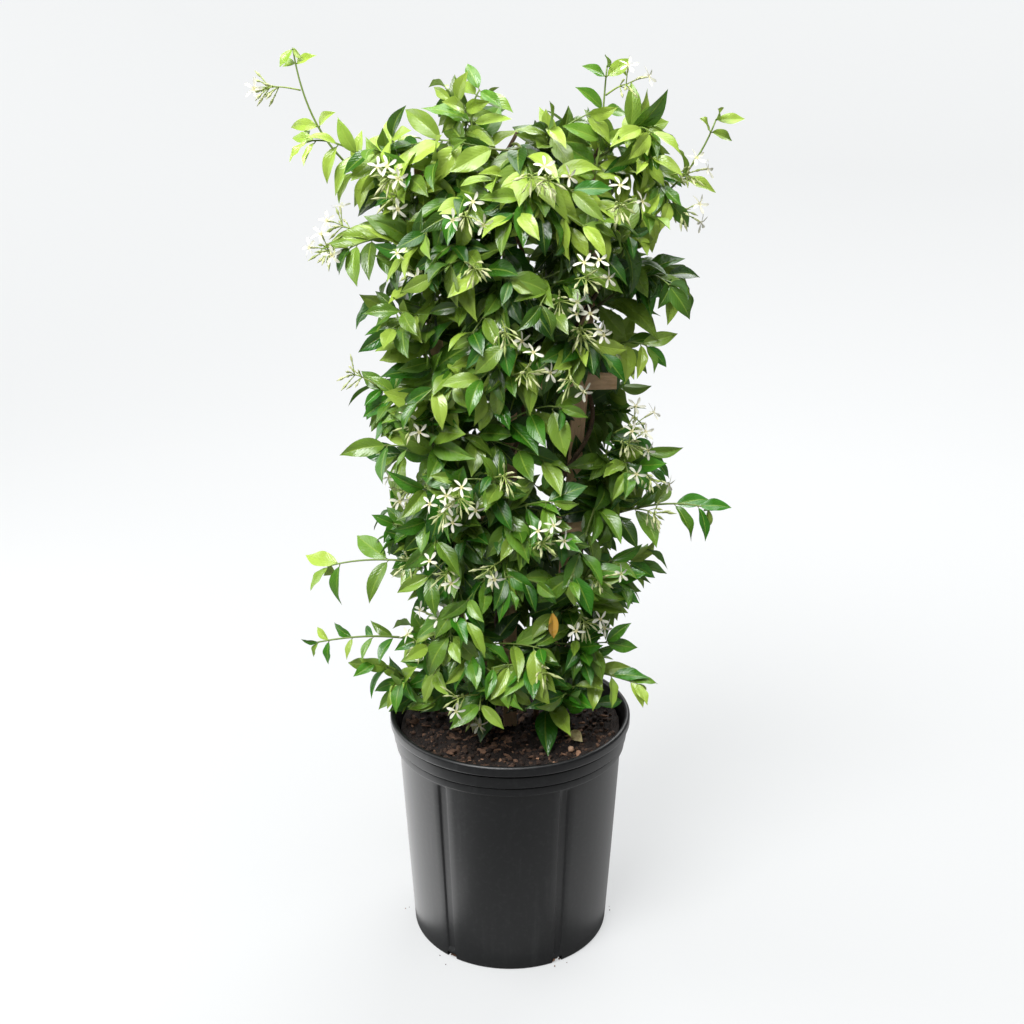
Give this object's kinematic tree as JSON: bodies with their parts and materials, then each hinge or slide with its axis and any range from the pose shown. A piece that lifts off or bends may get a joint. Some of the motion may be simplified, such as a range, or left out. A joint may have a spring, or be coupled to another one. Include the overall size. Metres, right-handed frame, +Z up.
{
  "type": "star jasmine in a nursery pot",
  "caption": "A flowering star jasmine with opposite leathery leaves and white pinwheel flowers, twining up a slatted wooden trellis that stands in a round black nursery pot",
  "frame": {"origin": "the centre of the flat underside of the pot", "axes": "+Z up along the pot's axis and the trellis; the slats run along X on the -Y side of the stakes, which is the front; +X is to the right seen from the front"},
  "size_m": [0.5149, 0.2893, 1.024],
  "materials": {
    "pot_plastic": "black moulded plastic, satin",
    "soil": "dark crumbly potting mix",
    "trellis_wood": "reddish brown sawn wood, matt",
    "vine_bark": "thin brown bark",
    "leaf": "dark green, waxy gloss",
    "young_leaf": "lime green, soft gloss",
    "flower": "creamy white petals"
  },
  "bodies": {
    "root": {"flowers_01": "flower", "flowers_02": "flower", "flowers_03": "flower", "flowers_04": "flower", "flowers_05": "flower", "flowers_06": "flower", "flowers_07": "flower", "flowers_08": "flower", "flowers_09": "flower", "flowers_10": "flower", "flowers_11": "flower", "flowers_12": "flower", "flowers_13": "flower", "pot": "pot_plastic", "shoot_01": "young_leaf", "shoot_02": "young_leaf", "shoot_03": "young_leaf", "shoot_04": "young_leaf", "shoot_05": "young_leaf", "shoot_06": "leaf", "shoot_07": "leaf", "shoot_08": "leaf", "shoot_09": "leaf", "shoot_10": "leaf", "shoot_11": "leaf", "shoot_12": "leaf", "shoot_13": "leaf", "shoot_14": "leaf", "shoot_15": "leaf", "shoot_16": "leaf", "shoot_17": "leaf", "shoot_18": "leaf", "shoot_19": "leaf", "shoot_20": "leaf", "shoot_21": "leaf", "shoot_22": "leaf", "shoot_23": "leaf", "shoot_24": "leaf", "shoot_25": "leaf", "shoot_26": "leaf", "shoot_27": "leaf", "shoot_28": "leaf", "shoot_29": "leaf", "shoot_30": "leaf", "shoot_31": "leaf", "shoot_32": "leaf", "shoot_33": "leaf", "shoot_34": "leaf", "shoot_35": "leaf", "slat_01": "trellis_wood", "slat_02": "trellis_wood", "slat_03": "trellis_wood", "slat_04": "trellis_wood", "soil": "soil", "stake_centre": "trellis_wood", "stake_left": "trellis_wood", "stake_right": "trellis_wood", "vine_centre": "vine_bark", "vine_left": "vine_bark", "vine_right": "vine_bark"}
  },
  "joints": []
}
